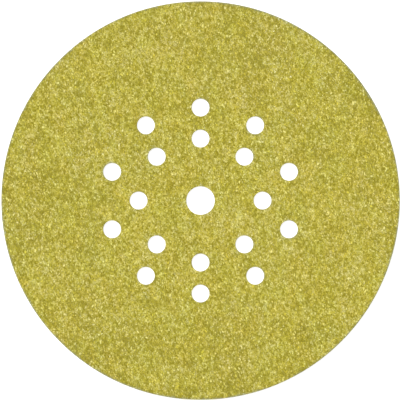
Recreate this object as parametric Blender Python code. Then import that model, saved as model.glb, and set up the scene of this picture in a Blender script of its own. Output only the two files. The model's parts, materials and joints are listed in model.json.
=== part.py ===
"""Sanding disc for a long-reach wall and ceiling sander, with two rings of dust holes.

A round sheet of coated abrasive, die-cut in one stroke: grains on stiff paper, with a
short looped pile on the back that the sander's pad grips. It lies flat, grains up.
Run it with: blender --background --python part.py
Metres, +Z up. The origin is on the disc's axis, in the plane that the pile rests on.
"""

import math

import bpy
from mathutils import Matrix, Vector

# The laminate, from the back to the face
PILE_HEIGHT = 0.0008
PAPER_THICKNESS = 0.0005
GRIT_HEIGHT = 0.0005

# The outline and the holes that the die cuts
DISC_DIAMETER = 0.225
CENTRE_HOLE_DIAMETER = 0.016
DUST_HOLE_DIAMETER = 0.010
INNER_PITCH_DIAMETER = 0.070
INNER_HOLE_COUNT = 8
OUTER_PITCH_DIAMETER = 0.105
OUTER_HOLE_COUNT = 10
FIRST_HOLE_ANGLE = math.radians(90)

# How far each cut edge draws back from its true size, at the back and at the face
PILE_SPREAD = 0.0005
GRIT_ROLL = 0.0003

# How finely the curves are drawn
CHORD_ERROR = 0.00004
CORNER_STEPS = 2
PUNCH_OVERRUN = 0.0010

ABRASIVE_COLOUR = (0.485, 0.428, 0.074, 1.0)
ABRASIVE_ROUGHNESS = 0.62


def clear_scene():
    """Removes whatever the file opened with."""
    for thing in list(bpy.data.objects):
        bpy.data.objects.remove(thing, do_unlink=True)


def segments_round(radius):
    """Sides, in fours, that keep each chord within CHORD_ERROR of a circle of this radius."""
    half_angle = math.acos(1 - CHORD_ERROR / radius)
    return 4 * math.ceil(math.pi / half_angle / 4)


def cut_wall():
    """The wall that the die leaves, from the back to the face, as (draw-back, height) pairs.

    The pile rounds out from the plane it rests on, the paper is cut straight, and the
    grit side rolls over. Each corner is a quarter of an ellipse.
    """
    paper_top = PILE_HEIGHT + PAPER_THICKNESS
    quarter = [math.pi / 2 * step / CORNER_STEPS for step in range(CORNER_STEPS + 1)]
    pile = [(PILE_SPREAD * (1 - math.sin(a)), PILE_HEIGHT * (1 - math.cos(a))) for a in quarter]
    grit = [(GRIT_ROLL * (1 - math.cos(a)), paper_top + GRIT_HEIGHT * math.sin(a)) for a in quarter]
    return pile + grit


def turned_mesh(name, section):
    """A closed mesh: the section, a loop of (radius, height) corners run anticlockwise, turned
    once round Z. A corner of radius 0 becomes one point on the axis."""
    sides = segments_round(max(radius for radius, _ in section))
    points = []
    rings = []
    for radius, height in section:
        first = len(points)
        turns = sides if radius > 0 else 1
        for side in range(turns):
            angle = 2 * math.pi * side / sides
            points.append((radius * math.cos(angle), radius * math.sin(angle), height))
        rings.append([first + side % turns for side in range(sides + 1)])
    faces = []
    for lower, upper in zip(rings, rings[1:] + rings[:1]):
        for side in range(sides):
            corners = (lower[side], lower[side + 1], upper[side + 1], upper[side])
            face = tuple(dict.fromkeys(corners))
            if len(face) > 2:
                faces.append(face)
    mesh = bpy.data.meshes.new(name)
    mesh.from_pydata(points, [], faces)
    mesh.validate()
    return mesh


def sheet_section():
    """The laminate's section, from the wall of the centre hole out to the rim and back."""
    hole = CENTRE_HOLE_DIAMETER / 2
    rim = DISC_DIAMETER / 2
    outward = [(rim - back, height) for back, height in cut_wall()]
    inward = [(hole + back, height) for back, height in reversed(cut_wall())]
    return outward + inward


def punch_section():
    """The section of one hole punch: the cut wall, run on past both faces to the axis."""
    radius = DUST_HOLE_DIAMETER / 2
    wall = [(radius + back, height) for back, height in cut_wall()]
    below = wall[0][1] - PUNCH_OVERRUN
    above = wall[-1][1] + PUNCH_OVERRUN
    return [(0, below), (wall[0][0], below)] + wall + [(wall[-1][0], above), (0, above)]


def hole_places():
    """Where the two rings of dust holes lie, each ring starting from the same radius line."""
    rings = (
        ("inner", INNER_PITCH_DIAMETER, INNER_HOLE_COUNT),
        ("outer", OUTER_PITCH_DIAMETER, OUTER_HOLE_COUNT),
    )
    for ring, pitch_diameter, count in rings:
        for index in range(count):
            turn = Matrix.Rotation(FIRST_HOLE_ANGLE + 2 * math.pi * index / count, 3, "Z")
            yield f"{ring}_hole_punch_{index + 1:02d}", turn @ Vector((pitch_diameter / 2, 0, 0))


def abrasive_material():
    """Grains in a yellow resin, matt over all."""
    material = bpy.data.materials.new("coated_abrasive")
    material.use_nodes = True
    shader = material.node_tree.nodes["Principled BSDF"]
    shader.inputs["Base Color"].default_value = ABRASIVE_COLOUR
    shader.inputs["Roughness"].default_value = ABRASIVE_ROUGHNESS
    shader.inputs["Metallic"].default_value = 0.0
    return material


def make_punches():
    """One cutter for each dust hole, all sharing a mesh, kept out of the model itself."""
    punches = bpy.data.collections.new("hole_punches")
    bpy.context.scene.collection.children.link(punches)
    mesh = turned_mesh("hole_punch", punch_section())
    for name, place in hole_places():
        punch = bpy.data.objects.new(name, mesh)
        punch.location = place
        punch.hide_render = True
        punch.display_type = "WIRE"
        punches.objects.link(punch)
    return punches


def make_disc(punches):
    """The disc: the turned sheet less its dust holes."""
    disc = bpy.data.objects.new("sanding_disc", turned_mesh("sanding_disc", sheet_section()))
    bpy.context.scene.collection.objects.link(disc)
    disc.data.materials.append(abrasive_material())
    holes = disc.modifiers.new("dust_holes", "BOOLEAN")
    holes.operation = "DIFFERENCE"
    holes.solver = "EXACT"
    holes.operand_type = "COLLECTION"
    holes.collection = punches
    disc.data.shade_smooth()
    disc.data.set_sharp_from_angle(angle=math.radians(30))
    return disc


def main():
    clear_scene()
    make_disc(make_punches())


main()
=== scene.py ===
"""Looks of the sanding disc, laid grains up on a white floor and seen from straight above.

The sheet is one closed mesh: a bed of yellow resin on cut paper, with a knitted ground on the
back. Three sieve sizes of mineral grain stand in the resin, and loops of yarn on the ground.
"""

import json
import math

import bpy
import numpy as np
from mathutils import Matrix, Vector
from mathutils.geometry import delaunay_2d_cdt


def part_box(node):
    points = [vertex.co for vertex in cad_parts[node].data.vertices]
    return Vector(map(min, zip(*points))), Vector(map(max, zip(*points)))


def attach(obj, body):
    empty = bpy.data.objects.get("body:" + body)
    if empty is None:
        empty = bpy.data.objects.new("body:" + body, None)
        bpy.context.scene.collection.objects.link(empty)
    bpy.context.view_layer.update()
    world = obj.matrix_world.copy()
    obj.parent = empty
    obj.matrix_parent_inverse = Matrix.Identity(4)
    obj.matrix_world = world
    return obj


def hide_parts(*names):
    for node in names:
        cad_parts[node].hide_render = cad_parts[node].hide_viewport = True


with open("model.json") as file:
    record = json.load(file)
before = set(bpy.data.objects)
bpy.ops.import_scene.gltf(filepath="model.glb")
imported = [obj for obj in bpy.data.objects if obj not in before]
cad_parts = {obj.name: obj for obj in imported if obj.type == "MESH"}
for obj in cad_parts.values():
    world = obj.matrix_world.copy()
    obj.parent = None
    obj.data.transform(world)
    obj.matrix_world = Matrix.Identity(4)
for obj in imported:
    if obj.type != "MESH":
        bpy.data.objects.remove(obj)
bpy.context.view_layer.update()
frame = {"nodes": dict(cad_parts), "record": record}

# Heights in the laminate, as the CAD disc has them, in metres
PILE_TOP = 0.0008
PAPER_TOP = 0.0013
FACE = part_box("sanding_disc")[1].z

# How far the disc's cut edge draws back, at the foot of its pile and at its face
PILE_SPREAD = 0.0005
GRIT_ROLL = 0.0003

# The bed of resin, how much it swells and over what distance, how deep the grains stand in it,
# and the knitted ground of the pile
BED_HEIGHT = 0.00142
BED_SWELL = 0.00006
SWELL_CELL = 0.0016
FOOT_DEPTH = 0.0001
GRAIN_FOOT = BED_HEIGHT - FOOT_DEPTH
GROUND_HEIGHT = 0.00064

# The sheet's mesh: how far apart its points lie and, as shares of that, how far each is pushed
# off an even pattern and kept from the cut edge
SHEET_SPACING = 0.0011
SHEET_PUSH = 0.12
SHEET_MARGIN = 0.55

# The cut edge: the longest side of its rings of corners, how many rings stand over the pile, with
# as many over the grit, and the least depth of a triangle beside it, as a share of the draw-back
EDGE_SIDE = 0.0010
PART_RINGS = 4
LEAST_DEPTH = 0.98

# Points nearer to each other than this are one
SAME_POINT = 1e-9

# The gap between the rows of a triangular lattice, as a share of the gap between its points
ROW_SHARE = math.sqrt(0.75)

# The sheet's material slots
RESIN, PAPER, GROUND = range(3)

# The sheet's two charts on its bake map, each with its middle and its reach
FACE_CHART = (0.405, 0.40)
BACK_CHART = (0.82, 0.175)

# The sieve sizes of grain: how far apart the grains stand, how wide they are, how many sides
# they have, and the heights of the lowest and the highest peak
SIEVES = (
    ("coarse_grains", 0.00175, 0.00160, 4, (0.00166, FACE)),
    ("medium_grains", 0.00136, 0.00115, 3, (0.00160, 0.00176)),
    ("fine_grains", 0.00136, 0.00075, 3, (0.00152, 0.00170)),
)

# How far a grain is pushed off an even pattern, as a share of the spacing, and how far inside a
# cut its middle stays, as a share of its width
GRAIN_PUSH = 0.32
GRAIN_MARGIN = 0.1

# The way that the grains mostly lie, as an angle in plan and a spread about it, and how much
# longer their clusters are along that way, and narrower across it, than they would be round
GRAIN_LIE = math.radians(105)
LIE_SPREAD = 0.5
STREAK = 1.3

# A grain's shape, with the least and the most of each: its size, as a share of its sieve's width,
# how far it is drawn out along its lie, the reach of a corner of its foot and of its top, as
# shares of half its size, and the turn of its top against its foot, in sides
GRAIN_SIZE = (0.78, 1.22)
GRAIN_STRETCH = (1.1, 1.6)
FOOT_REACH = (0.85, 1.15)
TOP_REACH = (0.45, 0.95)
TOP_TURN = (0.35, 0.65)

# How far a grain's corners stand off an even round, in sides, the spread of its top's slope, and
# how far its top stays above its foot
CORNER_SHIFT = 0.22
TOP_SLOPE = 0.32
LEAST_RISE = 0.00012

# Tone, greyness and hue of the grit, each from 0 to 1: what every grain has, how far the tone
# falls from the disc's centre to its rim, what a grain has of its own, and what it shares with
# its neighbours, as layers of noise (cell size, strength, lean to bright)
GRIT_VALUES = ("tone", "grey", "hue")
MIDDLE_TONE = 0.48
TONE_FALL = 0.08
OWN_TONE = 0.67
TONE_LEAN = 0.76
TONE_LIMITS = (0.02, 0.98)
SHARED_TONE = (
    (0.00095, 0.37, 2.0),
    (0.0024, 0.075, 0.5),
    (0.006, 0.06, -0.5),
    (0.013, 0.058, -0.5),
    (0.03, 0.066, 0.0),
)
MIDDLE_GREY = 0.22
SHARED_GREY = ((0.0024, 0.09, 0.0), (0.0055, 0.25, 0.0), (0.014, 0.15, 0.0), (0.03, 0.09, 0.0))
MIDDLE_HUE = 0.5
SHARED_HUE = ((0.0028, 0.2, 0.0), (0.0055, 0.42, 0.0), (0.014, 0.24, 0.0))

# A grain's own tone follows an extreme-value spread of this mode and width, with a mean near 0, a
# deviation near 1 and a long bright side, times a draw from a range. The grains' own tones differ,
# and the bright side also paints glints into their colour, as painted highlights
GLINT_MODE = -0.43
GLINT_WIDTH = 0.78
GLINT_RANGE = (0.4, 1.6)

# The noise covers this many radii of the disc to each side, which is more than STREAK
NOISE_REACH = 1.5

# The grit beside a cut is darker and greyer, wholly so up to one depth and not at all from
# another, and less at a hole than at the rim
CUT_DARK_CORE = 0.0004
CUT_DARK_REACH = 0.0012
CUT_DARK_TONE = -0.20
CUT_DARK_GREY = 0.8
HOLE_CUT_DARK = 0.6

# Linear colours
GRIT_DARK = (0.246, 0.207, 0.006)
GRIT_MIDDLE = (0.831, 0.720, 0.0995)
GRIT_PALE = (1.0, 0.91, 0.32)
GRIT_RICH = (0.99, 0.98, 0.72)
GRIT_DULL = (0.98, 0.99, 1.0)
GRIT_LEAFY = (0.96, 1.009, 1.0)
GRIT_TAWNY = (1.011, 0.984, 1.0)
GRIT_CUT_DARK = (0.42, 0.49, 0.38)
# The deep resin colour: partly the resin's own olive, partly painted shade at the grains' feet and
# between them
RESIN_AND_PAINTED_SHADE = (0.255, 0.217, 0.002)
PAPER_DARK = (0.24, 0.18, 0.07)
PAPER_LIGHT = (0.45, 0.36, 0.16)
YARN_DEEP = (0.58, 0.56, 0.49)
YARN_PALE = (0.84, 0.82, 0.75)

# The tones at which the grit has its middle colour and its palest, the greyness at which it is
# wholly dull, and the greyness over which the cut's darkening comes in and how much of it does
MIDDLE_AT = 0.5
PALE_AT = 0.92
DULL_AT = 0.45
CUT_DARK_SHOWS = (0.5, 1.0)
CUT_DARK_MIX = (0.0, 0.6)

# The grains' roughness, falling between two tones
GLOSS_TONES = (0.1, 0.9)
GRAIN_ROUGHNESS = (0.60, 0.12)

# A grain's place on the bake map: hue across in this many bands, each of which runs from dark to
# pale, and greyness up in this many, each of which runs from the grain's foot to its top. The
# edges of a band stay clear by a share of it, and a grain's colour comes out of the deep resin's,
# a painted shade at its foot, between two shares of its band
HUE_BANDS = 6
HUE_EDGE = 0.05
GREY_BANDS = 16
GREY_EDGE = 0.1
RISE_SHARES = (0.15, 0.75)

# The corners of a grain or loop are spread by this much across its bake map, so that each of its
# triangles has an area there
MAP_SPREAD = 0.004

# The patterns on the sheet: how many cells of each there are to a metre, how far each is pressed
# together along X, Y and Z, or drawn out where that is under 1, the range of the pattern that is
# taken up, and the depth of the pebbles and the stitches
SPECKLES = 1800.0
SPECKLE_RANGE = (0.25, 0.65)
RESIN_RISE = (0.15, 0.9)
PEBBLES = 2600.0
PEBBLE_DEPTH = 0.0001
FIBRES = 2200.0
FIBRE_PRESS = (1.0, 1.0, 6.0)
FIBRE_RANGE = (0.3, 0.7)
STITCHES = 2200.0
STITCH_PRESS = (1.0, 1.0, 0.25)
STITCH_RANGE = (0.1, 0.7)
STITCH_DEPTH = 0.0002

# The loops of yarn on the back: how far apart they stand, how far each is pushed off an even
# pattern, as a share of that, and how far clear of the cut edge's foot its middle stays
LOOP_SPACING = 0.00164
LOOP_PUSH = 0.25
LOOP_MARGIN = 0.0004

# The way that a loop lies in plan, and the spread about it
LOOP_LIE = 0.0
LOOP_LIE_SPREAD = 0.5

# How far a loop runs from root to root, the thickness of its yarn, and the range of both
LOOP_RUN = 0.0022
YARN_THICKNESS = 0.00054
YARN_RANGE = (0.85, 1.15)

# How far over to one side a loop leans at most, and the range of that, how far its yarn stands
# off the floor at most, and the height of its roots
LOOP_LEAN = 0.0008
LEAN_RANGE = (0.4, 1.0)
LOOP_LIFT = 0.00018
ROOT_HEIGHT = 0.95 * PILE_TOP

# A loop's tube: how far out its two rings lie, as a share of half its run, a root's corner and
# the three of a ring, as (across, down) from the yarn's middle in half thicknesses, and the
# triangles, which count the corners from one root, through both rings, to the other root
LOOP_RING = 0.4
ROOT_CORNER = (0.0, 0.0)
YARN_CORNERS = ((0.0, 1.0), (0.87, -0.5), (-0.87, -0.5))
LOOP_FACES = np.array([
    (0, 1, 3), (0, 2, 1), (0, 3, 2),
    (1, 4, 3), (3, 4, 6), (2, 4, 1), (2, 5, 4), (3, 5, 2), (3, 6, 5),
    (7, 6, 4), (7, 4, 5), (7, 5, 6),
])

# A loop's place on its bake map: its shade across, and the way from its roots to its top upwards,
# both clear of the edges by this much. The yarn pales between two shares of that way, and its
# shade ages it by an amount from a range
LOOP_MAP_EDGE = 0.1
PALING_SHARES = (0.1, 0.8)
YARN_AGEING = (0.0, 0.25)

# The floor, matt white with a glow of its own, runs a little way in under the disc from its rim
# and from each hole
FLOOR_RADIUS = 4.0
FLOOR_LAP = 0.0006
FLOOR_SIDES = 128
FLOOR_WHITE = (0.85, 0.85, 0.85, 1)
FLOOR_GLOW = 0.6

# The light: a white surround, with its strength on the disc and as it is seen, and a soft key
SURROUND_STRENGTH = 0.6
SEEN_STRENGTH = 1.0
KEY_STRENGTH = 1.6
KEY_WIDTH = math.radians(20)
KEY_FROM = Vector((-0.6, 0.6, 1.0))

# The camera, straight above a point a little up and left of the disc's centre
PICTURE_WIDTH = 0.22576
CAMERA_HEIGHT = 1.5
CAMERA_X = -0.00030
CAMERA_Y = 0.00030
CAMERA_REACH = 10.0
SENSOR_WIDTH = 36.0

rng = np.random.default_rng(225)
hue_rng = np.random.default_rng(226)


def cut_circles():
    """Centres and radii of the rim, first, and of every hole, measured on the CAD disc: a hole
    reaches from the middle of its opening's box to the disc's nearest corner, and the rim to the
    corner that is furthest from the axis."""
    disc = frame["nodes"]["sanding_disc"].data
    corners = np.empty(len(disc.vertices) * 3)
    disc.vertices.foreach_get("co", corners)
    corners = corners.reshape(-1, 3)[:, :2]
    boxes = [opening["box_m"] for opening in frame["record"]["physics"]["openings"]]
    # A hole may have two or three boxes round one centre
    holes = np.unique(np.mean(boxes, axis=1)[:, :2].round(5), axis=0)
    rim = np.linalg.norm(corners, axis=1).max()
    reach = np.linalg.norm(corners[:, None] - holes, axis=2).min(axis=0)
    return np.vstack([np.zeros((1, 2)), holes]), np.concatenate([[rim], reach])


CENTRES, RADII = cut_circles()
# Material lies inside the rim, -1, and outside each hole, 1
MATERIAL_SIDE = np.array([-1.0] + [1.0] * (len(RADII) - 1))


def draw_back(height):
    """How far the cut wall stands back at a height: a quarter ellipse over the grit and one
    under the pile, and nothing along the paper. Each is its reach times one less the root of one
    less the square of the share of its height."""
    up_grit = np.clip((height - PAPER_TOP) / (FACE - PAPER_TOP), 0, 1)
    down_pile = np.clip(1 - height / PILE_TOP, 0, 1)
    roll = GRIT_ROLL * (1 - np.sqrt(1 - up_grit**2))
    spread = PILE_SPREAD * (1 - np.sqrt(1 - down_pile**2))
    return roll + spread


def nearest_cut(points):
    """For each point, its depth inside the nearest cut, which is its distance from the circle's
    centre less the radius, or the reverse at the rim, and the direction into the material."""
    offset = points[:, None, :2] - CENTRES
    reach = np.linalg.norm(offset, axis=2)
    depth = (reach - RADII) * MATERIAL_SIDE
    nearest = depth.argmin(axis=1)
    each = np.arange(len(points))
    inward = offset[each, nearest] / reach[each, nearest, None] * MATERIAL_SIDE[nearest, None]
    return depth[each, nearest], inward


def trimmed(points):
    """The points, with those that stand out past the cut wall brought back onto it."""
    depth, inward = nearest_cut(points)
    short = np.maximum(draw_back(points[:, 2]) - depth, 0)
    result = points.copy()
    result[:, :2] += inward * short[:, None]
    return result


def lattice(spacing, push, margin):
    """A triangular lattice over the disc, each point pushed off it by up to a share of the
    spacing, kept where it lies deeper in the material than the margin."""
    radius = RADII[0]
    rows = math.ceil(radius / (spacing * ROW_SHARE))
    columns = math.ceil(radius / spacing) + 1
    row, column = np.mgrid[-rows:rows + 1, -columns:columns + 1]
    x = (column + 0.5 * (row % 2)) * spacing
    y = row * spacing * ROW_SHARE
    points = np.stack([x.ravel(), y.ravel()], axis=1)
    points += rng.uniform(-push, push, points.shape) * spacing
    depth, _ = nearest_cut(points)
    return points[depth > margin]


def noise_layers(asked, draws):
    """For each layer its cell size and a square grid of random values as strong as it asks. A
    lean adds that share of the value's square, less the mean square of a third, so that the high
    ones stand further out."""
    layers = []
    for cell, strength, lean in asked:
        side = math.ceil(2 * NOISE_REACH * RADII[0] / cell) + 2
        values = draws.uniform(-1, 1, (side, side))
        values += lean * (values**2 - 1 / 3)
        layers.append((cell, strength * values))
    return layers


def noise_at(layers, points):
    """The sum of the layers at the points, each one's values blended by smoothstep, three times
    the square less twice the cube. The grid is turned to the grains' lie and drawn out along it."""
    along = points[:, :2] @ (math.cos(GRAIN_LIE), math.sin(GRAIN_LIE))
    across = points[:, :2] @ (-math.sin(GRAIN_LIE), math.cos(GRAIN_LIE))
    drawn = np.column_stack([along / STREAK, across * STREAK])
    total = np.zeros(len(points))
    for cell, values in layers:
        at = (drawn + NOISE_REACH * RADII[0]) / cell
        corner = np.floor(at).astype(int)
        blend = at - corner
        blend = blend * blend * (3 - 2 * blend)
        x, y = corner.T
        low = values[x, y] * (1 - blend[:, 0]) + values[x + 1, y] * blend[:, 0]
        high = values[x, y + 1] * (1 - blend[:, 0]) + values[x + 1, y + 1] * blend[:, 0]
        total += low * (1 - blend[:, 1]) + high * blend[:, 1]
    return total


TONE_LAYERS = noise_layers(SHARED_TONE, rng)
GREY_LAYERS = noise_layers(SHARED_GREY, rng)
HUE_LAYERS = noise_layers(SHARED_HUE, hue_rng)


def grit_values(points):
    """Tone, greyness and hue that the grit at these points shares with its neighbours: each has
    its middle value and its noise. The tone also falls with the square of the distance from the
    axis, about its mean over the disc, and the darkening beside a cut goes onto tone and greyness."""
    depth, _ = nearest_cut(points)
    # The grit is darker and greyer beside a cut
    bruise = np.clip((CUT_DARK_REACH - depth) / (CUT_DARK_REACH - CUT_DARK_CORE), 0, 1)
    from_axis = np.linalg.norm(points[:, :2], axis=1)
    bruise[from_axis < RADII[0] - CUT_DARK_REACH] *= HOLE_CUT_DARK
    level = MIDDLE_TONE + TONE_FALL * (0.5 - (from_axis / RADII[0]) ** 2)
    tone = level + noise_at(TONE_LAYERS, points) + CUT_DARK_TONE * bruise
    dullness = np.clip(MIDDLE_GREY + noise_at(GREY_LAYERS, points), 0, DULL_AT)
    hue = MIDDLE_HUE + noise_at(HUE_LAYERS, points)
    return tone, dullness + CUT_DARK_GREY * bruise, hue


def make_piece(name, corners, faces, materials, bake_map, face_materials=None, smooth=False):
    """A mesh object at the origin, riding with the disc, from arrays of corners and faces. The
    bake map has a place for each corner of the mesh, or for each corner of each face."""
    mesh = bpy.data.meshes.new(name)
    mesh.from_pydata(corners, [], faces)
    for material in materials:
        mesh.materials.append(material)
    if face_materials is not None:
        mesh.polygons.foreach_set("material_index", face_materials)
    if len(bake_map) == len(corners):
        bake_map = bake_map[faces.ravel()]
    layer = mesh.uv_layers.new(name="OFBake")
    layer.uv.foreach_set("vector", bake_map.astype(np.float32).ravel())
    if smooth:
        mesh.shade_smooth()
    mesh.update()
    piece = bpy.data.objects.new(name, mesh)
    bpy.context.scene.collection.objects.link(piece)
    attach(piece, "root")
    return piece


def repeated(faces, count):
    """The faces of one shape, carried on to as many copies of it as the count says."""
    corners = faces.max() + 1
    return (faces + corners * np.arange(count)[:, None, None]).reshape(-1, 3)


def lie_directions(count, lie, spread):
    """Directions along and across each of a count of grains or loops. Angle = the lie + a normal
    draw of this spread, and half a turn more for one in two."""
    turn = lie + rng.normal(0, spread, (count, 1)) + math.pi * rng.integers(0, 2, (count, 1))
    along = np.stack([np.cos(turn), np.sin(turn)], axis=2)
    across = np.stack([-np.sin(turn), np.cos(turn)], axis=2)
    return along, across


def add_node(tree, kind, settings=None, **inputs):
    """A node with its settings made and its sockets filled: a socket is linked, and any other
    value is written in. An input's name is the socket's, or _ and its number."""
    node = tree.nodes.new(kind)
    for name, value in (settings or {}).items():
        setattr(node, name, value)
    for name, value in inputs.items():
        key = int(name[1:]) if name[0] == "_" else name.replace("_", " ")
        if isinstance(value, bpy.types.NodeSocket):
            tree.links.new(value, node.inputs[key])
        else:
            node.inputs[key].default_value = value
    return node


def math_node(tree, operation, first, second=0.0):
    """The result of a Math node."""
    node = add_node(tree, "ShaderNodeMath", {"operation": operation}, _0=first, _1=second)
    return node.outputs["Value"]


def map_range(tree, value, given, wanted=(0.0, 1.0)):
    """A value taken from one range to another."""
    inputs = {"From_Min": given[0], "From_Max": given[1], "To_Min": wanted[0], "To_Max": wanted[1]}
    return add_node(tree, "ShaderNodeMapRange", Value=value, **inputs).outputs["Result"]


def mix_colours(tree, factor, first, second, blend="MIX"):
    """Two colours, each a tuple or a socket, mixed."""
    first = (*first, 1) if isinstance(first, tuple) else first
    second = (*second, 1) if isinstance(second, tuple) else second
    settings = {"data_type": "RGBA", "blend_type": blend}
    return add_node(tree, "ShaderNodeMix", settings, _0=factor, _6=first, _7=second).outputs[2]


def object_place(tree):
    """Where a point lies on the object, in metres."""
    return add_node(tree, "ShaderNodeTexCoord").outputs["Object"]


def pressed_place(tree, press):
    """The same, times a factor along each axis, which presses a pattern together there."""
    mapping = add_node(tree, "ShaderNodeMapping", Vector=object_place(tree), Scale=press)
    return mapping.outputs["Vector"]


def mesh_value(tree, name):
    """A value that the mesh has at each of its corners."""
    return add_node(tree, "ShaderNodeAttribute", {"attribute_name": name}).outputs["Fac"]


def bake_place(tree):
    """Where a point lies on its piece's bake map, across and up."""
    place = add_node(tree, "ShaderNodeUVMap", {"uv_map": "OFBake"})
    parts = add_node(tree, "ShaderNodeSeparateXYZ", Vector=place.outputs["UV"])
    return parts.outputs["X"], parts.outputs["Y"]


def new_material(name, **plain):
    """A node material, its tree and its Principled shader, already linked to the output. The
    plain values go to the shader's sockets of those names."""
    material = bpy.data.materials.new(name)
    material.use_nodes = True
    shader = material.node_tree.nodes["Principled BSDF"]
    for socket, value in plain.items():
        shader.inputs[socket.replace("_", " ")].default_value = value
    return material, material.node_tree, shader


def add_bump(tree, shader, height, strength, depth):
    """Raises the shader's surface by a height."""
    bump = add_node(tree, "ShaderNodeBump", Strength=strength, Distance=depth, Height=height)
    tree.links.new(bump.outputs["Normal"], shader.inputs["Normal"])


def grit_colour_group():
    """Node group for the colour of resin-coated grit: from dark olive to pale by its tone, then
    from rich to dull, and at last darker and greyer beside a cut, by its greyness, from leafy to
    tawny by its hue, and down to the deep resin colour, a painted shade, where it does not rise
    out of the resin."""
    group = bpy.data.node_groups.new("grit_colour", "ShaderNodeTree")
    for name in ("Tone", "Grey", "Hue", "Rise"):
        group.interface.new_socket(name, in_out="INPUT", socket_type="NodeSocketFloat")
    group.interface.new_socket("Color", in_out="OUTPUT", socket_type="NodeSocketColor")
    given = group.nodes.new("NodeGroupInput").outputs
    lower = map_range(group, given["Tone"], (0.0, MIDDLE_AT))
    upper = map_range(group, given["Tone"], (MIDDLE_AT, PALE_AT))
    dullness = map_range(group, given["Grey"], (0.0, DULL_AT))
    bruise = map_range(group, given["Grey"], CUT_DARK_SHOWS, CUT_DARK_MIX)
    toned = mix_colours(group, lower, GRIT_DARK, GRIT_MIDDLE)
    toned = mix_colours(group, upper, toned, GRIT_PALE)
    cast = mix_colours(group, dullness, GRIT_RICH, GRIT_DULL)
    hue = mix_colours(group, given["Hue"], GRIT_LEAFY, GRIT_TAWNY)
    toned = mix_colours(group, 1.0, toned, cast, "MULTIPLY")
    toned = mix_colours(group, 1.0, toned, hue, "MULTIPLY")
    # Darker and greyer beside a cut
    bruised = mix_colours(group, bruise, toned, GRIT_CUT_DARK)
    # Where a grain does not rise out of the resin, painted shade in the deep resin colour
    risen = mix_colours(group, given["Rise"], RESIN_AND_PAINTED_SHADE, bruised)
    result = group.nodes.new("NodeGroupOutput")
    group.links.new(risen, result.inputs["Color"])


def grit_colour(tree, shader, **given):
    """Gives the shader the colour that the shared group makes."""
    settings = {"node_tree": bpy.data.node_groups["grit_colour"]}
    colour = add_node(tree, "ShaderNodeGroup", settings, **given).outputs["Color"]
    tree.links.new(colour, shader.inputs["Base Color"])


def in_band(value, share, bands, edge):
    """Where a share from 0 to 1 lies on the bake map, inside the band that a value from 0 to 1
    falls in: (band's number + edge + share of what is between the edges) over the bands."""
    band = np.round(np.clip(value, 0, 1) * (bands - 1))[:, None]
    return (band + edge + (1 - 2 * edge) * share) / bands


def read_band(tree, place, bands):
    """The reverse: the value of the band that a place lies in, and how far through it that is."""
    counted = math_node(tree, "MULTIPLY", place, bands)
    band = math_node(tree, "FLOOR", counted)
    return math_node(tree, "DIVIDE", band, bands - 1), math_node(tree, "FRACT", counted)


def grain_material():
    """Mineral grains under a thin coat of resin, glossier where they are pale and bare."""
    material, tree, shader = new_material("abrasive_grain", Specular_IOR_Level=0.2)
    across, up = bake_place(tree)
    hue, tone_share = read_band(tree, across, HUE_BANDS)
    grey, height_share = read_band(tree, up, GREY_BANDS)
    tone = map_range(tree, tone_share, (HUE_EDGE, 1 - HUE_EDGE))
    # Low on a grain, its colour goes down to the deep resin colour, a painted shade at its foot
    rise = map_range(tree, height_share, RISE_SHARES)
    grit_colour(tree, shader, Tone=tone, Grey=grey, Hue=hue, Rise=rise)
    roughness = map_range(tree, tone, GLOSS_TONES, GRAIN_ROUGHNESS)
    tree.links.new(roughness, shader.inputs["Roughness"])
    return material


def resin_material():
    """The size coat between the grains, pebbled with the finest grit and speckled with the deep
    resin colour, partly the resin's own and partly painted shade between the grains.
    """
    material, tree, shader = new_material("size_resin", Roughness=0.45)
    place = object_place(tree)
    tone, grey, hue = (mesh_value(tree, name) for name in GRIT_VALUES)
    speckle = add_node(tree, "ShaderNodeTexNoise", Vector=place, Scale=SPECKLES, Detail=3.0)
    pebbles = add_node(tree, "ShaderNodeTexVoronoi", Vector=place, Scale=PEBBLES)
    # The speckle mixes in the deep resin colour, partly painted shade between the grains
    rise = map_range(tree, speckle.outputs["Fac"], SPECKLE_RANGE, RESIN_RISE)
    grit_colour(tree, shader, Tone=tone, Grey=grey, Hue=hue, Rise=rise)
    add_bump(tree, shader, pebbles.outputs["Distance"], strength=0.8, depth=PEBBLE_DEPTH)
    return material


def paper_material():
    """The cut edge of the paper: tan, with the fibres lying flat along it."""
    material, tree, shader = new_material("cut_paper", Roughness=0.85)
    place = pressed_place(tree, FIBRE_PRESS)
    fibres = add_node(tree, "ShaderNodeTexNoise", Vector=place, Scale=FIBRES, Detail=4.0)
    shade = map_range(tree, fibres.outputs["Fac"], FIBRE_RANGE)
    colour = mix_colours(tree, shade, PAPER_DARK, PAPER_LIGHT)
    tree.links.new(colour, shader.inputs["Base Color"])
    return material


def ground_material():
    """The knitted ground that the loops grow from. At the cut edge it is drawn out upright, as
    the cut legs of the loops are."""
    material, tree, shader = new_material("pile_ground", Roughness=0.9)
    place = pressed_place(tree, STITCH_PRESS)
    knit = add_node(tree, "ShaderNodeTexVoronoi", Vector=place, Scale=STITCHES).outputs["Distance"]
    colour = mix_colours(tree, map_range(tree, knit, STITCH_RANGE), YARN_PALE, YARN_DEEP)
    tree.links.new(colour, shader.inputs["Base Color"])
    add_bump(tree, shader, knit, strength=0.6, depth=STITCH_DEPTH)
    return material


def loop_material():
    """Loops of bulked yarn, paler at their tops than at their roots."""
    material, tree, shader = new_material("pile_loop", Roughness=0.85, Sheen_Weight=0.4)
    across, up = bake_place(tree)
    yarn = mix_colours(tree, map_range(tree, up, PALING_SHARES), YARN_DEEP, YARN_PALE)
    aged = mix_colours(tree, map_range(tree, across, (0.0, 1.0), YARN_AGEING), yarn, YARN_DEEP)
    tree.links.new(aged, shader.inputs["Base Color"])
    return material


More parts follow.
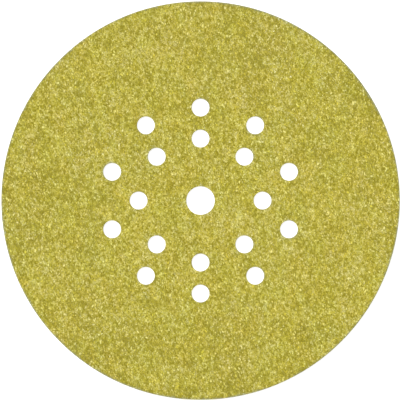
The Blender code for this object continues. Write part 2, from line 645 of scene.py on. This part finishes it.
def wall_rings():
    """The rings of the cut wall, from the back to the face: the flat corners of each, on every
    cut circle, and its height. A corner's reach is its circle's radius, and the draw-back at that
    height added at a hole and taken off at the rim. Also, for each corner of a ring, the number
    of the one that follows it and of its circle."""
    quarter = np.linspace(0, math.pi / 2, PART_RINGS)
    pile = PILE_TOP * (1 - np.cos(quarter))
    grit = np.linspace(PAPER_TOP, BED_HEIGHT, PART_RINGS)
    heights = np.concatenate([pile, grit])
    sides = np.ceil(2 * math.pi * RADII / EDGE_SIDE).astype(int)
    circle = np.repeat(np.arange(len(sides)), sides)
    first = np.repeat(np.cumsum(sides) - sides, sides)
    step = np.arange(sides.sum()) - first
    angle = 2 * math.pi * step / sides[circle]
    outward = np.stack([np.cos(angle), np.sin(angle)], axis=1)
    reach = RADII[circle] + MATERIAL_SIDE[circle] * draw_back(heights)[:, None]
    flat = CENTRES[circle] + outward * reach[:, :, None]
    following = first + (step + 1) % sides[circle]
    return flat, heights, following, circle


def sheet_plan(edge, following):
    """The sheet in plan: points of a lattice inside its edge, and the triangles between them, as
    near to even as the points allow, with the edge's own sides kept. They count the edge's
    corners first."""
    back_edge = draw_back(0.0)
    inner = lattice(SHEET_SPACING, SHEET_PUSH, back_edge + SHEET_MARGIN * SHEET_SPACING)
    plan = np.concatenate([edge, inner])
    sides = np.column_stack([np.arange(len(edge)), following])
    made = delaunay_2d_cdt(plan.tolist(), sides.tolist(), [], 0, SAME_POINT)
    triangles = np.array(made[2])
    # A triangle that spans a corner of a hole's ring lies nearer the cut than the ring does
    depth, _ = nearest_cut(plan[triangles].mean(axis=1))
    return inner, triangles[depth > LEAST_DEPTH * back_edge]


def wall_faces(levels, following, circle):
    """Two triangles between each side of a ring and the ring above, facing outwards, and the
    slot of each: ground between the pile's rings, paper in the one step above, and then resin."""
    ring_size = len(following)
    ring = ring_size * np.arange(levels - 1)[:, None]
    lower_left = np.arange(ring_size) + ring
    lower_right = following + ring
    # Seen from outside, a ring runs rightward round the rim and leftward round a hole
    hole = circle > 0
    left = np.where(hole, lower_right, lower_left).ravel()
    right = np.where(hole, lower_left, lower_right).ravel()
    low = np.column_stack([left, right, right + ring_size])
    high = np.column_stack([left, right + ring_size, left + ring_size])
    level = np.tile(np.repeat(np.arange(levels - 1), ring_size), 2)
    slots = np.select([level < PART_RINGS - 1, level < PART_RINGS], [GROUND, PAPER], RESIN)
    return np.concatenate([low, high]), slots


def charted(flat, chart, radius):
    """Places in a chart of the bake map: its middle, and its reach times the share of a radius."""
    middle, reach = chart
    return middle + flat * reach / radius


def sheet_map(corners, wall_corners, upper, lower):
    """The sheet's place on the bake map, for each corner of its upper faces and of its lower
    ones. One chart has the face and, round it, the walls, each corner of them moved outwards by
    as far as it lies below the face, and the other chart has the back."""
    _, inward = nearest_cut(corners)
    fall = np.where(np.arange(len(corners)) < wall_corners, FACE - corners[:, 2], 0)
    unrolled = corners[:, :2] - inward * fall[:, None]
    upper_map = charted(unrolled, FACE_CHART, RADII[0] + FACE)
    lower_map = charted(corners[:, :2], BACK_CHART, RADII[0])
    return np.concatenate([upper_map[upper], lower_map[lower]]).reshape(-1, 2)


def make_sheet():
    """The sheet: a triangulated face and back with the same plan, joined by a wall that is
    carried round the rim and every hole. Height of the face = bed height + swell times noise."""
    flat, heights, following, circle = wall_rings()
    levels, ring_size = flat.shape[:2]
    inner, triangles = sheet_plan(flat[0], following)
    swell = noise_at(noise_layers(((SWELL_CELL, BED_SWELL, 0.0),), rng), inner)
    ring_heights = np.repeat(heights, ring_size).reshape(levels, ring_size)
    rings = np.dstack([flat, ring_heights]).reshape(-1, 3)
    ground = np.column_stack([inner, np.full(len(inner), GROUND_HEIGHT)])
    bed = np.column_stack([inner, BED_HEIGHT + swell])
    corners = np.concatenate([rings, ground, bed])

    # The plan's edge is the lowest ring for the back and the highest for the face
    on_edge = triangles < ring_size
    highest_ring = ring_size * (levels - 1)
    back = np.where(on_edge, triangles, triangles + highest_ring)[:, ::-1]
    face = np.where(on_edge, triangles, triangles + len(inner)) + highest_ring
    wall, wall_slots = wall_faces(levels, following, circle)
    upper = np.concatenate([face, wall])
    slots = np.concatenate([np.full(len(face), RESIN), wall_slots, np.full(len(back), GROUND)])

    piece = make_piece(
        "cut_sheet",
        corners,
        np.concatenate([upper, back]),
        [resin_material(), paper_material(), ground_material()],
        sheet_map(corners, len(rings), upper, back),
        face_materials=slots,
    )
    for name, values in zip(GRIT_VALUES, grit_values(corners)):
        attribute = piece.data.attributes.new(name, "FLOAT", "POINT")
        attribute.data.foreach_set("value", np.clip(values, 0, 1))
    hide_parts("sanding_disc")


def chip_faces(sides):
    """The triangles of one chip: a flat foot, two triangles up each side and a flat top."""
    k = np.arange(sides)
    after = (k + 1) % sides
    low = np.column_stack([k, after, k + sides])
    high = np.column_stack([after, after + sides, k + sides])
    fan = np.column_stack([np.zeros(sides - 2, int), k[1:-1], k[2:]])
    return np.concatenate([fan[:, ::-1], low, high, fan + sides])


def grain_rings(count, width, sides, peaks):
    """Angles, flat offsets and heights of the corners of a count of chips, foot before top.

    Offset = half the size times a share of it, at the corner's angle, stretched along the chip
    and narrowed across it by one factor. The foot is level. Height of the top = peak + slope
    times offset - the most that slope times offset comes to, and no lower than its least.
    """
    size = width * rng.uniform(*GRAIN_SIZE, (count, 1))
    along, across = lie_directions(count, GRAIN_LIE, LIE_SPREAD)
    stretch = rng.uniform(*GRAIN_STRETCH, (count, 1, 1))
    side = 2 * math.pi / sides
    shift = rng.uniform(-CORNER_SHIFT, CORNER_SHIFT, (count, sides))
    foot_angle = side * (np.arange(sides) + shift)
    top_angle = foot_angle + side * rng.uniform(*TOP_TURN, (count, 1))
    angle = np.concatenate([foot_angle, top_angle], axis=1)
    foot_share = rng.uniform(*FOOT_REACH, (count, sides))
    top_share = rng.uniform(*TOP_REACH, (count, sides))
    reach = size / 2 * np.concatenate([foot_share, top_share], axis=1)
    run = (np.cos(angle) * reach)[:, :, None] * stretch
    swing = (np.sin(angle) * reach)[:, :, None] / stretch
    offset = along * run + across * swing

    slope = rng.normal(0, TOP_SLOPE, (count, 1, 2))
    peak = rng.uniform(*peaks, (count, 1))
    rise = (offset[:, sides:] * slope).sum(axis=2)
    top = peak + rise - np.abs(rise).max(axis=1, keepdims=True)
    top = np.maximum(top, GRAIN_FOOT + LEAST_RISE)
    foot = np.full((count, sides), GRAIN_FOOT)
    return angle, offset, np.concatenate([foot, top], axis=1)


def grain_map(places, angle, height):
    """The grains' places on the bake map. Tone = what the neighbours share and what the grain has
    of its own, and a lean to bright that grows with the square of its distance from the middle."""
    tone, grey, hue = grit_values(places)
    count = len(places)
    # The bright side of a grain's own tone, and the lean to bright, are partly painted highlights:
    # glints painted into the colour
    tone += OWN_TONE * rng.gumbel(GLINT_MODE, GLINT_WIDTH, count) * rng.uniform(*GLINT_RANGE, count)
    tone += TONE_LEAN * (tone - MIDDLE_TONE) ** 2
    tone_share = np.clip(tone, *TONE_LIMITS)[:, None] + MAP_SPREAD * np.cos(angle)
    height_share = (height - GRAIN_FOOT) / (FACE - GRAIN_FOOT)
    across = in_band(hue, tone_share, HUE_BANDS, HUE_EDGE)
    up = in_band(grey, height_share, GREY_BANDS, GREY_EDGE)
    return np.stack([across, up], axis=2).reshape(-1, 2)


def make_grains(name, material, spacing, width, sides, peaks):
    """One sieve size of grain: chips with a foot in the resin and a tilted flat top."""
    places = lattice(spacing, GRAIN_PUSH, GRAIN_MARGIN * width)
    angle, offset, height = grain_rings(len(places), width, sides, peaks)
    corners = np.concatenate([places[:, None] + offset, height[:, :, None]], axis=2)
    corners = trimmed(corners.reshape(-1, 3))
    faces = repeated(chip_faces(sides), len(places))
    bake_map = grain_map(places, angle, height)
    make_piece(name, corners, faces, [material], bake_map)


def make_loops(material):
    """Loops of yarn on the back: each a triangular tube from a root, through two rings at the
    bottom of its arch, to its other root.

    Corner = place + run along the loop + swing and lean across it. The lean is 0 at the roots
    and the same at both rings, so that a loop seen from below is a curl.
    """
    places = lattice(LOOP_SPACING, LOOP_PUSH, PILE_SPREAD + LOOP_MARGIN)
    count = len(places)
    along, across = lie_directions(count, LOOP_LIE, LOOP_LIE_SPREAD)
    swing, drop = np.array([ROOT_CORNER, *YARN_CORNERS, *YARN_CORNERS, ROOT_CORNER]).T
    run = np.repeat((-1.0, -LOOP_RING, LOOP_RING, 1.0), (1, 3, 3, 1))
    at_root = np.abs(run) == 1
    half_run = LOOP_RUN / 2 * rng.uniform(*YARN_RANGE, (count, 1))
    half_thick = YARN_THICKNESS / 2 * rng.uniform(*YARN_RANGE, (count, 1))
    lean = LOOP_LEAN * rng.choice((-1, 1), (count, 1)) * rng.uniform(*LEAN_RANGE, (count, 1))
    sideways = (swing * half_thick + lean * ~at_root)[:, :, None]
    flat = places[:, None] + along * (run * half_run)[:, :, None] + across * sideways
    middle = rng.uniform(0.0, LOOP_LIFT, (count, 1)) + half_thick
    height = np.where(at_root, ROOT_HEIGHT, middle - drop * half_thick)
    corners = trimmed(np.concatenate([flat, height[:, :, None]], axis=2).reshape(-1, 3))
    faces = repeated(LOOP_FACES, count)

    shade = rng.uniform(LOOP_MAP_EDGE, 1 - LOOP_MAP_EDGE, (count, 1))
    up = 1 - LOOP_MAP_EDGE - (1 - 2 * LOOP_MAP_EDGE) * height / PILE_TOP
    bake_map = np.stack([shade + MAP_SPREAD * swing, up], axis=2).reshape(-1, 2)
    make_piece("pile_loops", corners, faces, [material], bake_map, smooth=True)


def sees_white(tree):
    """1 for the rays that show the background white: from the camera, reflected or transmitted."""
    path = add_node(tree, "ShaderNodeLightPath").outputs
    mirrored = math_node(tree, "MAXIMUM", path["Is Glossy Ray"], path["Is Transmission Ray"])
    return math_node(tree, "MAXIMUM", path["Is Camera Ray"], mirrored)


def floor_material():
    """Matt white that also glows, to the rays that show white, and is clear from below."""
    material, tree, shader = new_material("white_floor")
    tree.nodes.remove(shader)
    strength = math_node(tree, "MULTIPLY", sees_white(tree), FLOOR_GLOW)
    glow = add_node(tree, "ShaderNodeEmission", Strength=strength).outputs["Emission"]
    matt = add_node(tree, "ShaderNodeBsdfDiffuse", Color=FLOOR_WHITE).outputs["BSDF"]
    both = add_node(tree, "ShaderNodeAddShader", _0=glow, _1=matt).outputs["Shader"]
    below = add_node(tree, "ShaderNodeNewGeometry").outputs["Backfacing"]
    clear = add_node(tree, "ShaderNodeBsdfTransparent").outputs["BSDF"]
    floor = add_node(tree, "ShaderNodeMixShader", _0=below, _1=both, _2=clear).outputs["Shader"]
    tree.links.new(floor, tree.nodes["Material Output"].inputs["Surface"])
    return material


def make_floor():
    """A white floor that keeps the disc's shadow. It is a wide flat ring round the disc and a
    round spot under each hole, and is open where the disc covers it, so that the back of the
    disc is seen and lit from below."""
    turn = np.linspace(0, 2 * math.pi, FLOOR_SIDES, endpoint=False)
    circle = np.stack([np.cos(turn), np.sin(turn), np.zeros(FLOOR_SIDES)], axis=1)
    spots = circle * (RADII[1:, None, None] + FLOOR_LAP)
    spots[:, :, :2] += CENTRES[1:, None]
    ring = [circle * (RADII[0] - FLOOR_LAP), circle * FLOOR_RADIUS]
    side = np.arange(FLOOR_SIDES)
    after = (side + 1) % FLOOR_SIDES
    ring_faces = np.column_stack([side, side + FLOOR_SIDES, after + FLOOR_SIDES, after])
    spot_faces = side + FLOOR_SIDES * (len(ring) + np.arange(len(spots)))[:, None]
    mesh = bpy.data.meshes.new("floor")
    mesh.from_pydata(np.concatenate([*ring, *spots]), [], ring_faces.tolist() + spot_faces.tolist())
    mesh.materials.append(floor_material())
    floor = bpy.data.objects.new("floor", mesh)
    bpy.context.scene.collection.objects.link(floor)


def light_scene():
    """A white surround and one soft key from the upper left."""
    world = bpy.data.worlds.new("studio")
    world.use_nodes = True
    bpy.context.scene.world = world
    tree = world.node_tree
    background = tree.nodes["Background"]
    background.inputs["Color"].default_value = (1, 1, 1, 1)
    strengths = (SURROUND_STRENGTH, SEEN_STRENGTH)
    strength = map_range(tree, sees_white(tree), (0.0, 1.0), strengths)
    tree.links.new(strength, background.inputs["Strength"])
    lamp = bpy.data.lights.new("key", "SUN")
    lamp.energy = KEY_STRENGTH
    lamp.angle = KEY_WIDTH
    key = bpy.data.objects.new("key", lamp)
    key.rotation_euler = KEY_FROM.to_track_quat("Z", "Y").to_euler()
    bpy.context.scene.collection.objects.link(key)


def place_camera():
    """A long lens looking straight down, so that the picture holds PICTURE_WIDTH at the face."""
    lens = bpy.data.cameras.new("camera")
    lens.sensor_width = SENSOR_WIDTH
    lens.lens = SENSOR_WIDTH * (CAMERA_HEIGHT - FACE) / PICTURE_WIDTH
    lens.clip_end = CAMERA_REACH
    camera = bpy.data.objects.new("camera", lens)
    camera.location = (CAMERA_X, CAMERA_Y, CAMERA_HEIGHT)
    bpy.context.scene.collection.objects.link(camera)
    bpy.context.scene.camera = camera


def main():
    place_camera()
    light_scene()
    make_floor()
    grit_colour_group()
    make_sheet()
    grain = grain_material()
    for name, spacing, width, sides, peaks in SIEVES:
        make_grains(name, grain, spacing, width, sides, peaks)
    make_loops(loop_material())
    bpy.context.scene.view_settings.view_transform = "Standard"


main()
